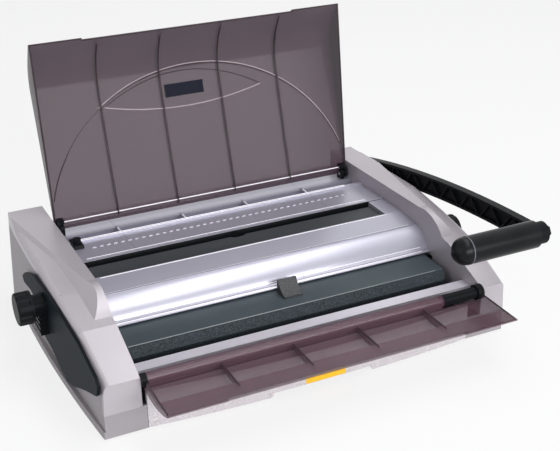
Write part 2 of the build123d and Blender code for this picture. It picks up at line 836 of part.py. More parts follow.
def lid_shell():
    region = lid_region()
    panel = across(lid_band(0, cover_sheet), lid_left_x, lid_right_x)
    arch = extrude(lid_plane() * Pos(5.8, -13.5) * Ellipse(198, 179), amount=120, both=True)
    arch = arch & block(lid_left_x + 3, lid_right_x - 3, 100, 200, 112, 300)
    panel = panel + (across(lid_band(cover_sheet - 0.4, cover_sheet + 0.7), lid_left_x, lid_right_x) & arch)
    lens_top = ThreePointArc((-107.5, 130), (-6, 160), (94, 131))
    lens_low = ThreePointArc((94, 131), (-6, 118), (-107.5, 130))
    lens = extrude(lid_plane() * outline_of(lens_top, lens_low), amount=120, both=True)
    lens_band = across(lid_band(cover_sheet - 0.4, cover_sheet + 1.2), lid_left_x, lid_right_x)
    panel = panel + (lens_band & lens)
    for x0 in (lid_left_x, lid_right_x - 2):
        panel = panel + across(region, x0, x0 + 2)
    shifted = Pos(-4, 0.5) * region
    for x in lid_rib_xs:
        panel = panel + across(region - shifted, x - 0.9, x + 0.9)
    panel = panel - block(-128.8, 135.8, 140, 170, 306, 320)
    for x0, x1 in ((lid_left_x + 2, -179), (189, lid_right_x - 2)):
        panel = panel - block(x0, x1, 100, 145, 80, 107)
    bore = rod(-300, 300, lid_hinge_y, lid_hinge_z, hinge_pin_radius + running_clearance)
    collars = rod(lid_left_x, lid_left_x + 2, lid_hinge_y, lid_hinge_z, 6)
    collars = collars + rod(lid_right_x - 2, lid_right_x, lid_hinge_y, lid_hinge_z, 6)
    return panel + collars - bore


def lid_lug_face():
    bar = make_face(FilletPolyline((120, 93), (120, 103), (124, 106.8), (134.5, 106.8), (131, 93), radius=2, close=True))
    return bar + Pos(lid_hinge_y, lid_hinge_z) * Circle(6.5)


def lid_hinge_lugs():
    face = lid_lug_face() - Pos(lid_hinge_y, lid_hinge_z) * Circle(hinge_pin_radius + running_clearance)
    left = across(face, lid_left_x + 2, lid_left_x + 5.2)
    right = across(face, lid_right_x - 5.2, lid_right_x - 2)
    return group([left, right])


def lid_hinge_posts():
    base = Pos(lid_hinge_y, (rear_ledge_top + lid_hinge_z) / 2) * Rectangle(11, lid_hinge_z - rear_ledge_top)
    face = base + Pos(lid_hinge_y, lid_hinge_z) * Circle(5.5) - Pos(lid_hinge_y, lid_hinge_z) * Circle(hinge_pin_radius)
    left = across(face, lid_left_x + 5.5, lid_left_x + 10)
    right = across(face, lid_right_x - 10, lid_right_x - 5.5)
    return group([left, right])


def lid_hinge_pins():
    left = rod(cap_left_x + part_gap, lid_left_x + 10, lid_hinge_y, lid_hinge_z, hinge_pin_radius)
    right = rod(lid_right_x - 10, cap_right_x - part_gap, lid_hinge_y, lid_hinge_z, hinge_pin_radius)
    return group([left, right])


# Front cover


def front_region():
    """The space between the front cover's chord and the inside of its sagging panel."""
    rear = (front_hinge_y, front_hinge_z)
    edge = (front_edge_y, front_edge_z)
    low = (-172, 50)
    return outline_of(Line(edge, rear), Line(rear, low), ThreePointArc(low, (-197, 47), edge))


def front_cover():
    left = -189.3
    right = 199.0
    region = front_region()
    skin = offset(region, 2.2) - region
    skin = skin & (Pos(-205, 30) * Rectangle(70, 60)) - Pos(-200, 70) * Rectangle(100, 27.4)
    panel = across(skin, left, right)
    flanges = across(region, left, left + 2) + across(region, right - 2, right)
    panel = panel + flanges
    inset = region - Pos(-225, 50) * Rectangle(6, 30)
    for x in front_fin_xs:
        panel = panel + across(inset, x - 0.8, x + 0.8)
    panel = panel - block(-129.4, 136.8, -240, front_edge_y + 1.2, 40, 70)
    clear = front_barrel_radius + 2.4
    panel = panel - rod(-300, front_barrel_left - 0.01, front_hinge_y, front_hinge_z, clear)
    panel = panel - rod(front_barrel_right + 0.01, 300, front_hinge_y, front_hinge_z, clear)
    barrel = rod(front_barrel_left, front_barrel_right, front_hinge_y, front_hinge_z, front_barrel_radius)
    panel = panel + barrel
    return panel - rod(-300, 300, front_hinge_y, front_hinge_z, front_rod_radius + running_clearance)


front_barrel_left = -186.0
front_barrel_right = 149.7


def front_hinge_bosses():
    left = rod(cap_left_x, front_barrel_left - part_gap, front_hinge_y, front_hinge_z, front_barrel_radius)
    right = rod(front_barrel_right + part_gap, 193, front_hinge_y, front_hinge_z, front_barrel_radius - 0.3)
    right = right + rod(193, cap_right_x, front_hinge_y, front_hinge_z, 8.5)
    bore = rod(-300, 300, front_hinge_y, front_hinge_z, front_rod_radius)
    return group([left - bore, right - bore])


def front_hinge_rod():
    return rod(cap_left_x, cap_right_x, front_hinge_y, front_hinge_z, front_rod_radius)


# Chip drawer


def drawer_bow_face(inset, rear_y):
    left = drawer_left_x + inset
    right = drawer_right_x - inset
    corner = -case_half_depth - 0.5 + inset
    middle = (left + right) / 2
    return outline_of(
        ThreePointArc((left, corner), (middle, corner - drawer_bow), (right, corner)),
        Polyline((right, corner), (right, rear_y), (left, rear_y), (left, corner)),
    )


def drawer_front():
    rear = drawer_body_front
    outer = extrude(Plane.XY.offset(2.5) * drawer_bow_face(0, rear), amount=drawer_top - 2.5)
    hollow = extrude(Plane.XY.offset(5) * drawer_bow_face(wall, rear + 1), amount=drawer_top - 7.5)
    shell = outer - hollow
    notch = make_face(Polyline((-59.5, 0), (-54, 7.5), (57.2, 7.5), (62.7, 0), close=True))
    cut = extrude(Plane.XZ.offset(150) * notch, amount=60)
    return shell - cut


def drawer_body():
    left = -182.0
    right = 180.0
    tray = block(left, right, drawer_body_front, 90, pan_top + part_gap, 38)
    return tray - block(left + 2, right - 2, drawer_body_front + 2, 88, pan_top + part_gap + 2, 50)


drawer_body_front = -167.0


def drawer_runners():
    left = block(-184.5, -182.3, -150, 90, pan_top, pan_top + 8)
    right = block(180.3, 182.5, -150, 90, pan_top, pan_top + 8)
    return group([left, right])


# Margin guide


guide_x = -177.5
guide_y = 79.0


def margin_guide():
    bead = strip_rear_y + 4.5
    outline = [
        (68.5, strip_top + part_gap), (strip_rear_y - part_gap, strip_top + part_gap),
        (strip_rear_y - part_gap, strip_top + 2.3), (bead + part_gap, strip_top + 2.3),
        (bead + part_gap, 86), (bead + 2, 86), (bead + 2, strip_top + 4), (70, strip_top + 4),
    ]
    base = across(outline, guide_x - 5.5, guide_x + 5.5)
    return base - post(guide_x, guide_y, strip_top + 1, 100, 1.6)


def guide_screw():
    head = post(guide_x, guide_y, strip_top + 4.3, 100.8, 4.75)
    return head + post(guide_x, guide_y, strip_top + 1.2, 96, 1.5)


pieces = {
    "base_pan": base_pan,
    "rubber_feet": rubber_feet,
    "left_side_panel": left_side_panel,
    "right_side_panel": right_side_panel,
    "left_top_cap": left_top_cap,
    "right_top_cap": right_top_cap,
    "rear_panel": rear_panel,
    "left_frame_plate": left_frame_plate,
    "right_frame_plate": right_frame_plate,
    "deck_cover": deck_cover,
    "punch_plate": punch_plate,
    "wire_hooks": wire_hooks,
    "stripper_block": stripper_block,
    "die_block": die_block,
    "die_end_blocks": die_end_blocks,
    "rack_guides": rack_guides,
    "closing_rack_guides": closing_rack_guides,
    "front_rail": front_rail,
    "drawer_runners": drawer_runners,
    "knob_bushing": knob_bushing,
    "lid_hinge_posts": lid_hinge_posts,
    "lid_hinge_pins": lid_hinge_pins,
    "front_hinge_bosses": front_hinge_bosses,
    "front_hinge_rod": front_hinge_rod,
    "punch_bar": punch_bar,
    "punch_pins": punch_pins,
    "punch_racks": punch_racks,
    "drive_shaft": drive_shaft,
    "punch_pinions": punch_pinions,
    "shaft_collars": shaft_collars,
    "handle_arm": handle_arm,
    "handle_grip": handle_grip,
    "grip_bolt": grip_bolt,
    "closing_lever": closing_lever,
    "closing_tube": closing_tube,
    "closing_sectors": closing_sectors,
    "closing_racks": closing_racks,
    "closing_crossbar": closing_crossbar,
    "closing_bar": closing_bar,
    "thumb_tab": thumb_tab,
    "size_knob": size_knob,
    "depth_knob": depth_knob,
    "lid_shell": lid_shell,
    "lid_hinge_lugs": lid_hinge_lugs,
    "front_cover": front_cover,
    "drawer_front": drawer_front,
    "drawer_body": drawer_body,
    "margin_guide": margin_guide,
    "guide_screw": guide_screw,
}

os.makedirs("parts", exist_ok=True)
for name, make in pieces.items():
    shape = make()
    export_step(Pos(0, case_middle_y, 0) * shape, f"parts/{name}.step")
    print(name, len(shape.solids()), round(shape.volume))
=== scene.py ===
import math

import bmesh
import bpy
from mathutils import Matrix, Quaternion, Vector
from mathutils.bvhtree import BVHTree


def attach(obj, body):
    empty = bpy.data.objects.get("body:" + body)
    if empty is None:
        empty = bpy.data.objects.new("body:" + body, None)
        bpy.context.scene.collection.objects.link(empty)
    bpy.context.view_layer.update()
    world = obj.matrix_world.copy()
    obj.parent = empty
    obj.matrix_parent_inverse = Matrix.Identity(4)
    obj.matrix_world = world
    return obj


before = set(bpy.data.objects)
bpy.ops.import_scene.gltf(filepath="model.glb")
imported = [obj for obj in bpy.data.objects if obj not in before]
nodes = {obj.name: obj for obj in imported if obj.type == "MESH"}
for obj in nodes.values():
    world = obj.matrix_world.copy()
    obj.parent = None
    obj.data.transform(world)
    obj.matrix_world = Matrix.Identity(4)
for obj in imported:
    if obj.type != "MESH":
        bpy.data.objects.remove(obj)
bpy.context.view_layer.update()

# Base pan, frame plates and drawer runners: zinc plated sheet steel, which shows only from below
# and through the gaps. The plating has a faint spangle. The shaft's collars and the closing
# lever's tube are plated in the same way.
per_metre = 1000.0


class Tone:
    """A socket of one finish. Sums and products written with it add the Math nodes they need."""

    def __init__(self, finish, socket):
        self.finish = finish
        self.socket = socket

    def math(self, operation, first, second):
        return self.finish.add("ShaderNodeMath", {"operation": operation}, {0: first, 1: second})

    def __add__(self, other):
        return self.math("ADD", self, other)

    __radd__ = __add__

    def __mul__(self, other):
        return self.math("MULTIPLY", self, other)

    __rmul__ = __mul__

    def __sub__(self, other):
        return self.math("SUBTRACT", self, other)

    def __rsub__(self, other):
        return self.math("SUBTRACT", other, self)

    def __gt__(self, other):
        return self.math("GREATER_THAN", self, other)

    def __lt__(self, other):
        return self.math("LESS_THAN", self, other)


class Finish:
    """One material, or the room's light, being mixed. It adds nodes and hands back their sockets."""

    def __init__(self, name, kind=bpy.data.materials):
        self.owner = kind.new(name)
        self.owner.use_nodes = True
        self.tree = self.owner.node_tree
        self.tree.nodes.clear()

    def add(self, kind, settings=None, sockets=None, out=0):
        node = self.tree.nodes.new(kind)
        for key, value in (settings or {}).items():
            if key == "stops":
                ends = node.color_ramp.elements
                ends[0].position, ends[0].color = value[0]
                ends[1].position, ends[1].color = value[1]
            else:
                setattr(node, key, value)
        for key, value in (sockets or {}).items():
            if isinstance(value, Tone):
                self.tree.links.new(value.socket, node.inputs[key])
            else:
                node.inputs[key].default_value = value
        return Tone(self, node.outputs[out])

    def place(self):
        """Where a point of the object lies, in millimetres."""
        where = self.add("ShaderNodeTexCoord", out="Object")
        return self.add("ShaderNodeVectorMath", {"operation": "SCALE"}, {0: where, "Scale": per_metre})

    def along(self, axis):
        """How far along one axis that place is."""
        return self.add("ShaderNodeSeparateXYZ", None, {0: self.place()}, out=axis)

    def noise(self, scale, detail=3.0, stretch=(1, 1, 1)):
        where = self.add("ShaderNodeVectorMath", {"operation": "MULTIPLY"}, {0: self.place(), 1: stretch})
        return self.add("ShaderNodeTexNoise", None, {"Vector": where, "Scale": scale, "Detail": detail})

    def specks(self, cloud, low, high):
        """A cloud made harder: black below the low mark, white above the high one."""
        stops = [(low, (0, 0, 0, 1)), (high, (1, 1, 1, 1))]
        return self.add("ShaderNodeValToRGB", {"stops": stops}, {"Fac": cloud})

    def line(self, place, middle, half_width):
        """One on a line across the given coordinate, and nothing beside it."""
        away = self.add("ShaderNodeMath", {"operation": "ABSOLUTE"}, {0: place - middle})
        return away < half_width

    def blend(self, amount, first, second):
        settings = {"data_type": "RGBA", "clamp_factor": True}
        return self.add("ShaderNodeMix", settings, {"Factor": amount, 6: first, 7: second}, out=2)

    def bump(self, height, strength, depth=0.0001):
        return self.add("ShaderNodeBump", None, {"Height": height, "Strength": strength, "Distance": depth})

    def body(self, **sockets):
        named = {key.replace("_", " "): value for key, value in sockets.items()}
        return self.add("ShaderNodeBsdfPrincipled", None, named)

    def close(self, surface, end="ShaderNodeOutputMaterial"):
        self.tree.links.new(surface.socket, self.tree.nodes.new(end).inputs["Surface"])
        return self.owner


def paint(node_names, material):
    """Gives carried over pieces their finish."""
    for name in node_names:
        for slot in nodes[name].material_slots:
            slot.link = "OBJECT"
            slot.material = material


zinc = Finish("zinc plate")
spangle = zinc.add("ShaderNodeTexVoronoi", None, {"Vector": zinc.place(), "Scale": 0.12}, out="Color")
zinc_finish = zinc.close(
    zinc.body(
        Base_Color=zinc.blend(zinc.noise(0.05), (0.4, 0.4, 0.42, 1), (0.6, 0.6, 0.62, 1)),
        Roughness=0.3 + 0.15 * zinc.add("ShaderNodeRGBToBW", None, {"Color": spangle}),
        Metallic=0.9,
        Normal=zinc.bump(zinc.noise(0.8), 0.08),
    )
)
paint(["base_pan", "left_frame_plate", "right_frame_plate", "drawer_runners"], zinc_finish)
paint(["shaft_collars", "closing_tube"], zinc_finish)

# Feet: four black rubber pucks under the base pan, each held by a screw from below. They are a
# little dusty where they have stood.
rubber = Finish("foot rubber")
dust = rubber.noise(0.7, 4.0)
rubber_finish = rubber.close(
    rubber.body(
        Base_Color=rubber.blend(dust, (0.012, 0.012, 0.012, 1), (0.05, 0.048, 0.045, 1)),
        Roughness=0.75,
        Normal=rubber.bump(dust, 0.3),
    )
)
paint(["rubber_feet"], rubber_finish)

# Stripper and die blocks: tool steel that guides the square pins, oil blackened so that nothing
# glints in the paper throat.
blackened = Finish("oil blackened steel")
oil = blackened.noise(0.1, 4.0)
blackened_finish = blackened.close(
    blackened.body(
        Base_Color=blackened.blend(oil, (0.012, 0.012, 0.014, 1), (0.03, 0.03, 0.034, 1)),
        Roughness=0.42 + 0.15 * oil,
        Metallic=0.3,
        Specular_IOR_Level=0.15,
        Normal=blackened.bump(blackened.noise(0.9), 0.1),
    )
)
paint(["stripper_block", "die_block", "die_end_blocks"], blackened_finish)

# Pins, racks, pinions, sectors, shafts and hinge pins: bright steel, ground along its length.
# They slide or turn in the guides and plates, and hardly show from outside.
steel = Finish("ground steel")
streak = steel.noise(0.6, 5.0, (0.08, 1.0, 1.0))
steel_finish = steel.close(
    steel.body(
        Base_Color=steel.blend(streak, (0.3, 0.3, 0.31, 1), (0.55, 0.55, 0.56, 1)),
        Roughness=0.25 + 0.2 * streak,
        Metallic=1.0,
        Normal=steel.bump(streak, 0.15, 0.00005),
    )
)
paint(["punch_bar", "punch_pins", "punch_racks", "punch_pinions", "drive_shaft"], steel_finish)
paint(["closing_sectors", "closing_racks", "closing_crossbar"], steel_finish)
paint(["lid_hinge_pins", "front_hinge_rod"], steel_finish)

# Black mouldings: the guides, the bush, the hinge posts and bosses, the knobs, the paper guide
# and the truss arm of the handle. All are one glass filled nylon with a fine mould grain.
black = Finish("black moulding")
black_grain = black.noise(1.2, 4.0)
black_finish = black.close(
    black.body(
        Base_Color=black.blend(black_grain, (0.004, 0.0045, 0.0055, 1), (0.011, 0.012, 0.014, 1)),
        Roughness=0.34 + 0.14 * black_grain,
        Specular_IOR_Level=0.06,
        Normal=black.bump(black_grain, 0.2),
    )
)
paint(["rack_guides", "closing_rack_guides", "knob_bushing", "front_hinge_bosses"], black_finish)
paint(["lid_hinge_posts", "lid_hinge_lugs", "margin_guide", "guide_screw"], black_finish)
paint(["handle_arm", "size_knob", "depth_knob"], black_finish)

# Side panels and rear panel: moulded in grey plastic with a fine spark eroded grain that kills
# the shine. They stand on the base pan and close the housing below the caps.
side = Finish("grained side panel")
side_grain = side.noise(1.6, 4.0)
side_tint = side.blend(side.noise(0.03, 2.0), (0.28, 0.26, 0.275, 1), (0.33, 0.305, 0.325, 1))
side_finish = side.close(
    side.body(
        Base_Color=side.blend(0.35 * side_grain, side_tint, (0.42, 0.39, 0.415, 1)),
        Roughness=0.46 + 0.16 * side_grain,
        Metallic=0.15,
        Normal=side.bump(side_grain, 0.35, 0.00015),
    )
)
paint(["left_side_panel", "right_side_panel", "rear_panel"], side_finish)

# Deck cover: one pressed and painted top between the caps, with its gutter, strip, slot and
# rounded front. The paint is smoother and a little bluer than that of the caps. Beads are rolled
# into the sheet beside the slot, along the gutter and at the edges of the rounded front. Near
# white strips laid on their edges and on the gutter's webs are a painted highlight where these
# catch the light. The slot's rear wall is painted near black as painted shade, and two thin dark
# lines on the strip are a painted reflection of the lid's ribs.
# Two thin dark lines on the strip behind the slot: a painted reflection of the lid's ribs.
rib_reflection_xs = (-120, 126)
rib_reflection_half_width = 0.7
rib_reflection_from_y = 20
# The slot's rear wall, painted near black as painted shade inside the slot.
slot_rear_wall_y = 63.4
slot_rear_wall_top = 91.7
slot_wall_skin = 0.6

deck = Finish("deck paint")
deck_cloud = deck.noise(0.012, 2.0)
deck_flake = deck.noise(2.2, 2.0)
deck_tint = deck.blend(deck_cloud * 0.6 + deck_flake * 0.3, (0.36, 0.355, 0.43, 1), (0.49, 0.48, 0.55, 1))
deck_x = deck.along("X")
deck_y = deck.along("Y")
# Painted shade: the slot's rear wall below the strip's edge is painted near black.
slot_wall_shade = deck.line(deck_y, slot_rear_wall_y, slot_wall_skin) * (deck.along("Z") < slot_rear_wall_top)
# The painted reflection of the lid's ribs: dark lines across the strip.
left_rib_reflection, right_rib_reflection = (deck.line(deck_x, x, rib_reflection_half_width) for x in rib_reflection_xs)
rib_reflection = 0.45 * (left_rib_reflection + right_rib_reflection) * (deck_y > rib_reflection_from_y)
deck_top = deck.blend(rib_reflection, deck_tint, (0.2, 0.19, 0.24, 1))
deck_finish = deck.close(
    deck.body(
        Base_Color=deck.blend(slot_wall_shade, deck_top, (0.008, 0.009, 0.011, 1)),
        Roughness=0.26 + 0.08 * deck_flake,
        Metallic=0.45,
        Coat_Weight=0.25,
        Coat_Roughness=0.2,
        Normal=deck.bump(deck_flake, 0.08, 0.00005),
    )
)
paint(["deck_cover"], deck_finish)

case_middle_y = 30.4


def at(x, y, z):
    """A point given in millimetres from the middle of the case."""
    return Vector((x, y + case_middle_y, z)) / per_metre


def steps(start, end, count):
    """Even steps from one number to another, both ends included."""
    return [start + (end - start) * i / (count - 1) for i in range(count)]


def bead(form, line, radius):
    """Lays a round bead along a line of points and closes its ends."""
    sides = 8
    rings = []
    for i, point in enumerate(line):
        run = (line[min(i + 1, len(line) - 1)] - line[max(i - 1, 0)]).normalized()
        upright = abs(run.z) >= 0.8
        side = run.cross(Vector((1, 0, 0) if upright else (0, 0, 1))).normalized()
        rise = side.cross(run)
        turns = [2 * math.pi * k / sides for k in range(sides)]
        ring = [point + (side * math.cos(t) + rise * math.sin(t)) * radius / per_metre for t in turns]
        rings.append([form.verts.new(corner) for corner in ring])
    for first, second in zip(rings, rings[1:]):
        join(form, first, second)
    form.faces.new(rings[0])
    form.faces.new(rings[-1][::-1])


def join(form, first, second):
    """Closes the band between two rings of points."""
    for k in range(len(first)):
        form.faces.new((first[k - 1], first[k], second[k], second[k - 1]))


def shown(name, form, material, body):
    """Makes a finished form into a piece that rides on a body of the frame."""
    fold_angle = math.radians(35)
    bmesh.ops.recalc_face_normals(form, faces=form.faces)
    mesh = bpy.data.meshes.new(name)
    form.to_mesh(mesh)
    form.free()
    mesh.shade_smooth()
    mesh.set_sharp_from_angle(angle=fold_angle)
    mesh.materials.append(material)
    piece = bpy.data.objects.new(name, mesh)
    bpy.context.collection.objects.link(piece)
    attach(piece, body)


def surface(node):
    """A node's own surface, ready to be touched by rays."""
    part = nodes[node]
    points = [part.matrix_world @ v.co for v in part.data.vertices]
    return BVHTree.FromPolygons(points, [tuple(p.vertices) for p in part.data.polygons])


def touch(skin, start, way):
    """Where a ray meets the surface first, or nothing."""
    return skin.ray_cast(start, Vector(way))[0]


# Painted highlight: near white beads laid where the deck's ridges, the slot's edges, the gutter's webs and
# the lid's seal strip catch the light.
edge_highlight = Finish("painted edge highlight")
edge_highlight_finish = edge_highlight.close(
    edge_highlight.body(
        Base_Color=edge_highlight.blend(edge_highlight.noise(0.6, 2.0), (0.85, 0.82, 0.87, 1), (0.96, 0.93, 0.97, 1)),
        Roughness=0.28,
    )
)
above_deck_z = 140
gutter_ends = (-180, 176)
slot_ends = (-178, 178)
nose_ends = (-190, 190)
deck_skin = surface("deck_cover")
highlight_beads = bmesh.new()
for y, ends, radius in (
    (89.6, gutter_ends, 0.55),
    (86.6, gutter_ends, 0.45),
    (37.2, slot_ends, 0.55),
    (41.0, slot_ends, 0.35),
    (-8.8, slot_ends, 0.4),
    (-38.5, nose_ends, 0.4),
    (-65.5, nose_ends, 0.5),
    (-69.5, nose_ends, 0.5),
):
    seats = [touch(deck_skin, at(x, y, above_deck_z), (0, 0, -1)) for x in steps(*ends, 25)]
    bead(highlight_beads, [seat for seat in seats if seat], radius)
# The gutter's webs: their lit front edges are near white beads, a painted highlight.
for x in (-120, -38, 44, 126):
    seats = [touch(deck_skin, at(x, y, above_deck_z), (0, 0, -1)) for y in steps(91.5, 106.5, 6)]
    bead(highlight_beads, [seat for seat in seats if seat], 1.0)
shown("deck_bead_highlights", highlight_beads, edge_highlight_finish, "case")

# Hole marks: forty low marks raised on the deck's strip at the pitch of the holes. They have the
# deck's paint, rubbed paler.
hook = Finish("bright hook marks")
hook_finish = hook.close(
    hook.body(
        Base_Color=hook.blend(hook.noise(1.5), (0.5, 0.48, 0.55, 1), (0.66, 0.64, 0.71, 1)),
        Roughness=0.35,
        Metallic=0.2,
    )
)
paint(["wire_hooks"], hook_finish)

# Punch plate: the enamelled plate in the slot that the sheets lie on, with a faint sheen from
# wiping hands.
enamel = Finish("dark enamel")
wipe = enamel.noise(0.05, 4.0, (0.3, 2.0, 1.0))
enamel_finish = enamel.close(
    enamel.body(
        Base_Color=enamel.blend(wipe, (0.012, 0.015, 0.018, 1), (0.028, 0.034, 0.04, 1)),
        Roughness=0.4 + 0.2 * wipe,
        Normal=enamel.bump(enamel.noise(1.8), 0.1),
    )
)
paint(["punch_plate"], enamel_finish)

# Front rail: the anvil strip that the wire is closed against, brushed along its length. It is
# the palest bar across the front well.
rail = Finish("brushed rail")
brush = rail.noise(1.2, 5.0, (0.02, 1.0, 1.0))
rail_finish = rail.close(
    rail.body(
        Base_Color=rail.blend(brush, (0.5, 0.48, 0.54, 1), (0.66, 0.64, 0.7, 1)),
        Roughness=0.4 + 0.12 * brush,
        Metallic=0.7,
        Normal=rail.bump(brush, 0.12, 0.00005),
    )
)
paint(["front_rail"], rail_finish)

# Closing bar: a heavy pressed bar in dark green grey powder coat, grainier on the front face
# that bears on the wire. A pale bead along the edge between its top and that face is a painted
# highlight.
bar_crease_z = 59.8
bar = Finish("bar powder coat")
bar_grain = bar.noise(0.95, 5.0)
bar_front = bar.along("Z") < bar_crease_z
bar_tint = bar.blend(bar.noise(0.02, 2.0), (0.034, 0.047, 0.055, 1), (0.06, 0.078, 0.088, 1))
bar_speck = bar.specks(bar_grain, 0.4, 0.62)
bar_dark = bar.blend(bar_speck, (0.004, 0.006, 0.009, 1), (0.04, 0.052, 0.062, 1))
bar_finish = bar.close(
    bar.body(
        Base_Color=bar.blend(bar_front, bar_tint, bar_dark),
        Roughness=0.36 + 0.25 * bar_front,
        Specular_IOR_Level=0.2,
        Normal=bar.bump(bar_grain, 0.1 + 0.5 * bar_front, 0.0002),
    )
)
paint(["closing_bar"], bar_finish)

# Painted highlight: a pale bead along the bar's crease.
crease_highlight = Finish("painted bar edge highlight")
crease_highlight_finish = crease_highlight.close(
    crease_highlight.body(
        Base_Color=crease_highlight.blend(crease_highlight.noise(0.3, 4.0), (0.07, 0.085, 0.09, 1), (0.16, 0.18, 0.19, 1)),
        Roughness=0.3,
    )
)
crease_highlight_form = bmesh.new()
bead(crease_highlight_form, [at(x, -110.2, 60.3) for x in steps(-184, 182, 9)], 0.55)
shown("bar_crease_highlight", crease_highlight_form, crease_highlight_finish, "closing_bar")

# Thumb rest: a black moulding fixed on top of the closing bar. A fine knurl on it gives the thumb
# something to push against.
knurl = Finish("knurled thumb rest")
tooth = knurl.add("ShaderNodeTexVoronoi", None, {"Vector": knurl.place(), "Scale": 0.75}, out="Distance")
knurl_finish = knurl.close(
    knurl.body(
        Base_Color=knurl.blend(tooth, (0.006, 0.007, 0.008, 1), (0.045, 0.047, 0.05, 1)),
        Roughness=0.45,
        Normal=knurl.bump(tooth, 0.8, 0.0006),
    )
)
paint(["thumb_tab"], knurl_finish)

# End caps: two injection moulded housings, sprayed in a silver paint with a faint lilac cast.
# They clip over the side panels and carry the deck between their inner walls. The paint holds
# fine metal flake under a thin clear coat.
cap_edge_break = 1.8 / per_metre
cap_edge_angle = math.radians(38)

silver = Finish("silver paint")
flake = silver.noise(2.6, 2.0)
silver_cloud = flake * 0.5 + silver.noise(0.02, 3.0) * 0.4
silver_finish = silver.close(
    silver.body(
        Base_Color=silver.blend(silver_cloud, (0.38, 0.35, 0.385, 1), (0.51, 0.47, 0.51, 1)),
        Roughness=0.34 + 0.1 * flake,
        Metallic=0.25,
        Coat_Weight=0.25,
        Coat_Roughness=0.22,
        Normal=silver.bump(flake, 0.12, 0.00005),
    )
)
paint(["left_top_cap", "right_top_cap"], silver_finish)
for cap in ("left_top_cap", "right_top_cap"):
    rounded = nodes[cap].modifiers.new("edge break", "BEVEL")
    rounded.width = cap_edge_break
    rounded.segments = 3
    rounded.limit_method = "ANGLE"
    rounded.angle_limit = cap_edge_angle

# Closing lever: a flat blade of dark grey glass filled plastic, worn a little paler on its face.
# It hangs against the left side, and a slate coloured panel with a fine texture is moulded into
# its outer face, inside a bare rim.
blade = Finish("lever plastic")
blade_grain = blade.noise(1.0, 4.0)
blade_wear = 0.6 * blade.noise(0.03, 2.0) + 0.3 * blade_grain
blade_finish = blade.close(
    blade.body(
        Base_Color=blade.blend(blade_wear, (0.004, 0.005, 0.006, 1), (0.01, 0.012, 0.014, 1)),
        Specular_IOR_Level=0.04,
        Roughness=0.28 + 0.14 * blade_grain,
        Normal=blade.bump(blade_grain, 0.15),
    )
)
paint(["closing_lever"], blade_finish)

slate = Finish("slate lever panel")
slate_grain = slate.noise(1.1, 4.0)
slate_finish = slate.close(
    slate.body(
        Base_Color=slate.blend(slate_grain, (0.009, 0.013, 0.017, 1), (0.02, 0.027, 0.034, 1)),
        Roughness=0.38 + 0.15 * slate_grain,
        Specular_IOR_Level=0.02,
        Normal=slate.bump(slate_grain, 0.2),
    )
)
blade_outline = (
    (74, 72), (62, 81), (26, 94), (-11.5, 94.5), (-60, 91.7), (-120.5, 84.3), (-166, 70), (-171, 62),
    (-166, 50), (-132, 37), (-96, 21), (-66, 11), (-48, 15), (-20, 25), (14, 30), (25, 36), (11, 57),
    (22, 64), (44, 68), (70, 66),
)
blade_rim = 3.2
blade_front_y = -170
blade_front_x = -234.7
blade_length = 235
blade_flare = 9.2
panel_sunk = 0.05
panel_thickness = 0.4

lever_panel = bmesh.new()
panel = lever_panel.faces.new([lever_panel.verts.new(at(-300, y, z)) for y, z in blade_outline])
bmesh.ops.inset_region(lever_panel, faces=[panel], thickness=blade_rim / per_metre)
rim_faces = [face for face in lever_panel.faces if face is not panel]
bmesh.ops.delete(lever_panel, geom=rim_faces, context="FACES")
for vert in lever_panel.verts:
    back = vert.co.y * per_metre - case_middle_y - blade_front_y
    vert.co.x = (blade_front_x - blade_flare * back / blade_length - panel_sunk) / per_metre
raised = bmesh.ops.extrude_face_region(lever_panel, geom=list(lever_panel.faces))
for vert in [part for part in raised["geom"] if isinstance(part, bmesh.types.BMVert)]:
    vert.co.x -= panel_thickness / per_metre
bmesh.ops.triangulate(lever_panel, faces=[face for face in lever_panel.faces if len(face.verts) > 4])
shown("lever_panel", lever_panel, slate_finish, "closing_lever")

# Handle grip: a thick tube of glossy black plastic pushed over the arm's spigot. It takes a soft
# polish from the hand, and a hexagon cap closes the outer end. A grey plastic ring sits in the
# groove where its domed nose begins.
grip = Finish("grip plastic")
polish = grip.noise(0.05, 3.0)
grip_finish = grip.close(
    grip.body(
        Base_Color=grip.blend(polish, (0.003, 0.0035, 0.0045, 1), (0.007, 0.008, 0.0095, 1)),
        Roughness=0.24 + 0.12 * polish,
        Specular_IOR_Level=0.14,
        Normal=grip.bump(grip.noise(1.0), 0.06),
    )
)
paint(["handle_grip", "grip_bolt"], grip_finish)

ring_grey = Finish("grey ring")
ring_finish = ring_grey.close(
    ring_grey.body(
        Base_Color=ring_grey.blend(ring_grey.noise(0.4), (0.07, 0.075, 0.085, 1), (0.13, 0.135, 0.15, 1)),
        Roughness=0.3,
    )
)
grip_y = -204
grip_z = 132
ring_profile = ((14.3, 152.0), (15.0, 152.3), (15.0, 153.3), (14.3, 153.6))
ring_sides = 48
around = [2 * math.pi * k / ring_sides for k in range(ring_sides)]
grip_ring = bmesh.new()
hoops = []
for reach, x in ring_profile:
    hoop = [at(x, grip_y + reach * math.cos(t), grip_z + reach * math.sin(t)) for t in around]
    hoops.append([grip_ring.verts.new(point) for point in hoop])
for first, second in zip(hoops, hoops[1:] + hoops[:1]):
    join(grip_ring, first, second)
shown("grip_ring", grip_ring, ring_finish, "handle")

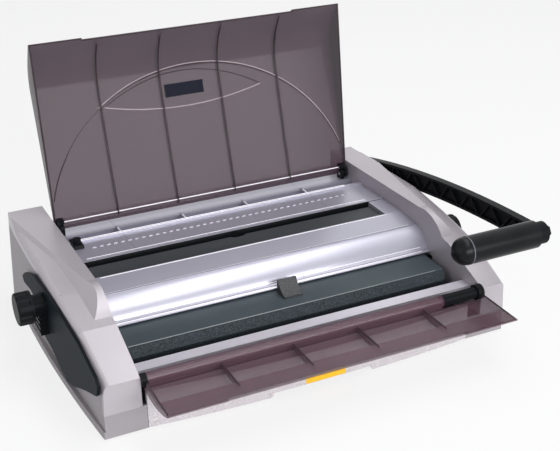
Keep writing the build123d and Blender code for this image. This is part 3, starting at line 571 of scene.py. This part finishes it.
# Lid: moulded in smoked clear plastic. Light passes through each skin in part, so the ribs and
# end flanges look darker where skins lie behind each other. An arch and a lens are pressed into
# the panel, and their steps catch the light. The ribs, the rim and the seal strip are thicker.
# Nearly black lines along the ribs, the end flanges, the rim, the arch's step and the lens's top
# edge are painted shade. Pale lines along the arch's outer edge, the lens's lower edge and the
# seal strip are painted highlights.
smoke = Finish("smoked plastic")
smoke_cloud = smoke.noise(0.008, 2.0)
smoke_finish = smoke.close(
    smoke.body(
        Base_Color=smoke.blend(smoke_cloud, (0.055, 0.03, 0.046, 1), (0.078, 0.045, 0.066, 1)),
        Roughness=0.12 + 0.05 * smoke_cloud,
        Alpha=0.76,
        Specular_IOR_Level=0.1,
        Normal=smoke.bump(smoke.noise(0.05), 0.05),
    )
)
paint(["lid_shell"], smoke_finish)

lid_foot_y = 126
lid_foot_z = 93.7
lid_bend_y = 168
lid_bend_z = 243.5
lid_bend_bulge = 12.5
lid_brow_y = 164.5
lid_brow_z = 285.5
lid_crown_run = 12.2
lid_crown_rise = 22.3
lid_chord = (26.3, 214.1)


def panel_y(z):
    """How far to the rear the open lid's front panel stands at a height."""
    if z < lid_bend_z:
        return lid_foot_y + (lid_bend_y - lid_foot_y) * (z - lid_foot_z) / (lid_bend_z - lid_foot_z)
    if z < lid_brow_z:
        t = (z - lid_bend_z) / (lid_brow_z - lid_bend_z)
        return lid_bend_y + t * (1 - t) * lid_bend_bulge - (lid_bend_y - lid_brow_y) * t
    return lid_brow_y - lid_crown_run * (z - lid_brow_z) / lid_crown_rise


def lid_face(x, up, proud):
    """A point on the lid's front panel, given along the hinge and up the lid's chord."""
    chord = Vector(lid_chord).normalized()
    off_chord = Vector((chord.y, -chord.x))
    foot = Vector((lid_foot_y, lid_foot_z)) + chord * up
    depth = 0.0
    for _ in range(12):
        y, z = foot + off_chord * depth
        depth += (panel_y(z) - y) * 0.9
    y, z = foot + off_chord * (depth - proud)
    return at(x, y, z)


# Painted shade: nearly black lines laid along the lid's ribs, end flanges, rim, arch step and lens top, and
# along the tray's fins, flanges and front edge.
shade_line = Finish("painted shade line")
shade_line_cloud = shade_line.noise(0.05)
shade_line_finish = shade_line.close(
    shade_line.body(
        Base_Color=shade_line.blend(shade_line_cloud, (0.02, 0.012, 0.016, 1), (0.045, 0.028, 0.035, 1)),
        Roughness=0.2,
        Specular_IOR_Level=0.4,
    )
)
# Painted highlight: pale lines along the outer edge of the arch's step and along the lens's lower edge.
step_highlight = Finish("painted step highlight")
step_highlight_finish = step_highlight.close(
    step_highlight.body(
        Base_Color=step_highlight.blend(step_highlight.noise(0.04), (0.42, 0.34, 0.37, 1), (0.54, 0.45, 0.48, 1)),
        Roughness=0.25,
    )
)
arch_middle = 5.8
arch_base = -13.5
arch_half_width = 198
arch_height = 179
arch = []
for i in range(80):
    t = math.radians(178 - 2.2 * i)
    x = arch_middle + arch_half_width * math.cos(t)
    up = arch_base + arch_height * math.sin(t)
    if up > 20 and -187 < x < 196:
        arch.append((x, up))

lid_left = -189.6
lid_right = 199.2
lid_notch_left = -128.8
lid_notch_right = 135.8
lid_top_y = 152.6
lid_edge_z = 307.6
lid_notch_z = 305.8
# Lines of painted shade: the dark side of the arch's step, the ribs, the end flanges and the top rim.
lid_shade_lines = bmesh.new()
bead(lid_shade_lines, [lid_face(x, up, 0.5) for x, up in arch], 0.6)
for x in (-111.5, -35, 41, 118):
    bead(lid_shade_lines, [lid_face(x, up, 3.2) for up in steps(6, 206, 26)], 0.95)
for x in (lid_left + 0.8, lid_right - 0.8):
    bead(lid_shade_lines, [at(x, lid_foot_y + 0.6 + 25.7 * t, 98 + 209 * t) for t in steps(0, 1, 9)], 1.0)
for left, right, z in (
    (lid_left, lid_notch_left, lid_edge_z),
    (lid_notch_left, lid_notch_right, lid_notch_z),
    (lid_notch_right, lid_right, lid_edge_z),
):
    bead(lid_shade_lines, [at(x, lid_top_y, z) for x in steps(left, right, 3)], 0.9)
shown("lid_painted_shade_lines", lid_shade_lines, shade_line_finish, "lid")

lens_middle = -6
lens_half_width = 100.8
lens_level = 130.4
lens_xs = steps(-107.5, 94, 31)


def lens(bulge):
    """One of the lens's two edges, which bulges up or down from its level."""
    return [(x, lens_level + bulge * (1 - ((x - lens_middle) / lens_half_width) ** 2)) for x in lens_xs]


# The arch's outer edge and the lens's lower edge: pale lines of painted highlight.
lens_highlight = bmesh.new()
bead(lens_highlight, [lid_face(x, up + 1.8, 0.4) for x, up in arch if x > -120], 0.5)
bead(lens_highlight, [lid_face(x, up, 1.3) for x, up in lens(-12.4)], 0.55)
shown("lid_lens_highlight", lens_highlight, step_highlight_finish, "lid")
# The lens's upper edge: a dark line of painted shade.
lens_top_shade = bmesh.new()
bead(lens_top_shade, [lid_face(x, up, 1.3) for x, up in lens(29.6)], 0.5)
shown("lid_lens_top_shade", lens_top_shade, shade_line_finish, "lid")

# A near white line along the lid's seal strip: a painted highlight.
seal_highlight = bmesh.new()
bead(seal_highlight, [lid_face(x, 9.0, 1.4) for x in steps(-184, 194, 13)], 0.7)
shown("lid_seal_highlight", seal_highlight, edge_highlight_finish, "lid")

# Lid hinge bridges and label: a black bridge ties each pair of hinge lugs together, and a bare
# black foil label is stuck to the middle of the lens.


def plate(form, rows, lift):
    """Thickens a grid of points into a plate."""
    near = [[form.verts.new(point) for point in row] for row in rows]
    far = [[form.verts.new(point + lift) for point in row] for row in rows]
    last_row = len(rows) - 1
    last = len(rows[0]) - 1
    for i in range(last_row):
        for k in range(last):
            form.faces.new((near[i][k], near[i][k + 1], near[i + 1][k + 1], near[i + 1][k]))
            form.faces.new((far[i][k], far[i + 1][k], far[i + 1][k + 1], far[i][k + 1]))
    rim = [(0, k) for k in range(last + 1)]
    rim += [(i, last) for i in range(1, last_row + 1)]
    rim += [(last_row, k) for k in range(last - 1, -1, -1)]
    rim += [(i, 0) for i in range(last_row - 1, 0, -1)]
    for (i, k), (m, n) in zip(rim, rim[1:] + rim[:1]):
        form.faces.new((near[i][k], near[m][n], far[m][n], far[i][k]))


bridge_foot_z = 102
bridge_height = 4.8
bridges = bmesh.new()
for left in (-184.2, 188.8):
    rows = [[at(x, y, bridge_foot_z) for y in (121.5, 125, 129, 132.5)] for x in steps(left, left + 5, 3)]
    plate(bridges, rows, Vector((0, 0, bridge_height / per_metre)))
shown("lid_hinge_bridges", bridges, black_finish, "lid")

label = Finish("black foil label")
label_finish = label.close(
    label.body(
        Base_Color=label.blend(label.noise(0.3), (0.006, 0.007, 0.014, 1), (0.014, 0.016, 0.028, 1)),
        Roughness=0.35,
        Specular_IOR_Level=0.03,
    )
)
label_rows = [[lid_face(x, up, 1.5) for x in steps(-30, 19, 8)] for up in steps(131, 146, 4)]
lid_label = bmesh.new()
plate(lid_label, label_rows, Vector((0, -0.5 / per_metre, 0)))
shown("lid_label", lid_label, label_finish, "lid")

# Front tray: moulded like the lid in a clearer smoked plastic, with thicker fins and a thicker
# front edge. Nearly black lines along these and the end flanges are painted shade for the light
# lost in the thicker plastic. It turns on a rod in front of the rail.
tray_smoke = Finish("clearer smoked plastic")
tray_cloud = tray_smoke.noise(0.02, 3.0)
tray_smoke_finish = tray_smoke.close(
    tray_smoke.body(
        Base_Color=tray_smoke.blend(tray_cloud, (0.12, 0.06, 0.082, 1), (0.165, 0.088, 0.116, 1)),
        Roughness=0.1 + 0.05 * tray_cloud,
        Alpha=0.52,
        Specular_IOR_Level=0.2,
        Normal=tray_smoke.bump(tray_smoke.noise(0.05), 0.05),
    )
)
paint(["front_cover"], tray_smoke_finish)

tray_rear_y = -177
tray_edge_y = -234.6
tray_notch_y = -233.2
tray_edge_z = 55.2
fin_top_z = 57.2
fin_length = 42
fin_drop = 1.12
flange_top_z = 57.4
flange_length = 56
flange_drop = 1.68
# Painted shade: nearly black lines along the tray's front edge, fins and end flanges.
tray_shade_lines = bmesh.new()
for left, right, y in (
    (-189.3, -129.4, tray_edge_y),
    (-129.4, 136.8, tray_notch_y),
    (136.8, 199, tray_edge_y),
):
    bead(tray_shade_lines, [at(x, y, tray_edge_z) for x in steps(left, right, 3)], 0.9)
for x in (-110, -31, 43, 123):
    edge = [at(x, tray_rear_y - fin_length * t, fin_top_z - fin_drop * t) for t in steps(0, 1, 8)]
    bead(tray_shade_lines, edge, 0.9)
for x in (-188.5, 198.2):
    edge = [at(x, tray_rear_y - flange_length * t, flange_top_z - flange_drop * t) for t in steps(0, 1, 8)]
    bead(tray_shade_lines, edge, 0.9)
shown("tray_painted_shade_lines", tray_shade_lines, shade_line_finish, "front_cover")

# Chip drawer: a pressed front in silver hammer paint, full of fine dark and bright specks, on a
# black moulded tray that catches the punched paper chips. A bare yellow paper label is stuck to
# the middle of the bowed front.
hammer = Finish("speckled drawer front")
speck = hammer.specks(hammer.noise(1.1, 2.0), 0.35, 0.65)
fleck = hammer.noise(0.55, 3.0)
hammer_finish = hammer.close(
    hammer.body(
        Base_Color=hammer.blend(speck, (0.42, 0.39, 0.41, 1), (0.74, 0.7, 0.73, 1)),
        Roughness=0.38 + 0.2 * fleck,
        Metallic=0.12,
        Normal=hammer.bump(fleck, 0.35, 0.0002),
    )
)
paint(["drawer_front"], hammer_finish)
tray = Finish("drawer moulding")
tray_grain = tray.noise(1.0, 4.0)
tray_finish = tray.close(
    tray.body(
        Base_Color=tray.blend(tray_grain, (0.02, 0.02, 0.022, 1), (0.045, 0.045, 0.05, 1)),
        Roughness=0.55,
        Normal=tray.bump(tray_grain, 0.2),
    )
)
paint(["drawer_body"], tray_finish)

paper = Finish("yellow label paper")
paper_finish = paper.close(
    paper.body(
        Base_Color=paper.blend(paper.noise(0.8, 4.0), (0.93, 0.47, 0.008, 1), (0.97, 0.56, 0.012, 1)),
        Roughness=0.55,
        Normal=paper.bump(paper.noise(1.5), 0.1),
    )
)
before_drawer_y = -240
paper_gap = Vector((0, -0.05 / per_metre, 0))
paper_thickness = Vector((0, -0.35 / per_metre, 0))
drawer_skin = surface("drawer_front")
paper_rows = []
for z in steps(8.4, 18.6, 4):
    hits = [touch(drawer_skin, at(x, before_drawer_y, z), (0, 1, 0)) for x in steps(-19, 27, 10)]
    paper_rows.append([hit + paper_gap for hit in hits])
drawer_label = bmesh.new()
plate(drawer_label, paper_rows, paper_thickness)
shown("drawer_label", drawer_label, paper_finish, "chip_drawer")

# Screws: plated pan head screws, each with a six sided recess. Eight hold the rear panel to the
# frame, and four hold the feet to the base pan.
screw_sides = 24
screw_profile = ((1.0, 0.0), (1.0, 0.25), (0.82, 0.48), (0.45, 0.58), (0.42, 0.2))
recess_share = 0.46


def screw(form, place, way, radius):
    """A pan head with a six sided recess, seated with its flat side on a surface."""
    away = Vector(way)
    side = away.orthogonal().normalized()
    other = away.cross(side)
    rings = []
    for share, rise in screw_profile:
        ring = []
        for k in range(screw_sides):
            t = 2 * math.pi * k / screw_sides
            reach = share * radius
            if share < recess_share:
                reach *= 0.92 + 0.08 * math.cos(6 * t)
            out = (side * math.cos(t) + other * math.sin(t)) * reach / per_metre
            ring.append(form.verts.new(place + out + away * rise * radius / per_metre))
        rings.append(ring)
    for first, second in zip(rings, rings[1:]):
        join(form, first, second)
    form.faces.new(rings[0])
    form.faces.new(rings[-1][::-1])


screws = bmesh.new()
rear_skin = surface("rear_panel")
for x in (-190, -65, 65, 190):
    for z in (20, 76):
        screw(screws, touch(rear_skin, at(x, 260, z), (0, -1, 0)), (0, 1, 0), 3.2)
foot_skin = surface("rubber_feet")
foot_recess = Vector((0, 0, 2.2 / per_metre))
for x in (-205, 205):
    for y in (-140, 140):
        screw(screws, touch(foot_skin, at(x, y, -20), (0, 0, 1)) + foot_recess, (0, 0, -1), 3.0)
shown("case_screws", screws, zinc_finish, "case")

# Studio: a white floor and room under three soft boxes. The floor and the room look white to the
# camera and in reflections, and light the machine only softly.
floor_form = bmesh.new()
bmesh.ops.create_grid(floor_form, x_segments=2, y_segments=2, size=6)
floor_mesh = bpy.data.meshes.new("floor")
floor_form.to_mesh(floor_mesh)
floor_form.free()
floor = bpy.data.objects.new("floor", floor_mesh)
bpy.context.collection.objects.link(floor)


def looked_at(finish):
    """One for rays from the camera, from gloss and through clear things, and nothing for others."""
    camera_ray = finish.add("ShaderNodeLightPath", out="Is Camera Ray")
    glossy_ray = finish.add("ShaderNodeLightPath", out="Is Glossy Ray")
    return camera_ray + glossy_ray + finish.add("ShaderNodeLightPath", out="Is Transmission Ray")


floor_paper = Finish("floor paper")
floor_lit = floor_paper.body(
    Base_Color=floor_paper.blend(floor_paper.noise(0.01), (0.8, 0.8, 0.8, 1), (0.82, 0.82, 0.82, 1)),
    Roughness=0.9,
    Specular_IOR_Level=0.0,
)
floor_white = floor_paper.add("ShaderNodeEmission", None, {"Color": (1, 1, 1, 1), "Strength": 1.0})
floor_mix = {0: looked_at(floor_paper) * 0.8, 1: floor_lit, 2: floor_white}
floor_mesh.materials.append(floor_paper.close(floor_paper.add("ShaderNodeMixShader", None, floor_mix)))

room = Finish("studio", bpy.data.worlds)
room_light = room.add("ShaderNodeBackground", None, {"Color": (0.9, 0.92, 0.96, 1), "Strength": 0.36})
room_white = room.add("ShaderNodeBackground", None, {"Color": (1, 1, 1, 1), "Strength": 1.0})
room_mix = room.add("ShaderNodeMixShader", None, {0: looked_at(room), 1: room_light, 2: room_white})
bpy.context.scene.world = room.close(room_mix, "ShaderNodeOutputWorld")

for name, place, aim, size, power in (
    ("front box", (0.3, -2.3, 0.8), (0, 0, 0.05), (2.2, 0.9), 48),
    ("top box", (0.55, -0.15, 1.9), (0, 0, 0.05), (2.4, 0.7), 21),
    ("left box", (-2.0, -0.5, 0.9), (0, 0, 0.1), (1.2, 1.2), 4),
):
    lamp = bpy.data.lights.new(name, "AREA")
    lamp.shape = "RECTANGLE"
    lamp.size, lamp.size_y = size
    lamp.energy = power
    lamp_object = bpy.data.objects.new(name, lamp)
    lamp_object.location = place
    lamp_object.rotation_mode = "QUATERNION"
    lamp_object.rotation_quaternion = (Vector(aim) - Vector(place)).to_track_quat("-Z", "Y")
    bpy.context.collection.objects.link(lamp_object)

# Camera: it stands where the photograph was taken from, to the front left of the machine and
# above it, and is held slightly askew.
camera_roll = math.radians(-1.7)
shot = bpy.data.cameras.new("camera")
shot.lens = 67.55
shot.sensor_width = 36.0
shot.sensor_fit = "HORIZONTAL"
shot.shift_x = 0.0557
shot.shift_y = 0.0657
shot.clip_end = 20
camera = bpy.data.objects.new("camera", shot)
bpy.context.collection.objects.link(camera)
camera.location = (-0.4402, -0.9598, 0.6022)
line_of_sight = Vector((0.3643, 0.8183, -0.4446))
camera.rotation_mode = "QUATERNION"
camera.rotation_quaternion = line_of_sight.to_track_quat("-Z", "Y") @ Quaternion((0, 0, 1), camera_roll)
bpy.context.scene.camera = camera
bpy.context.scene.view_settings.view_transform = "Standard"
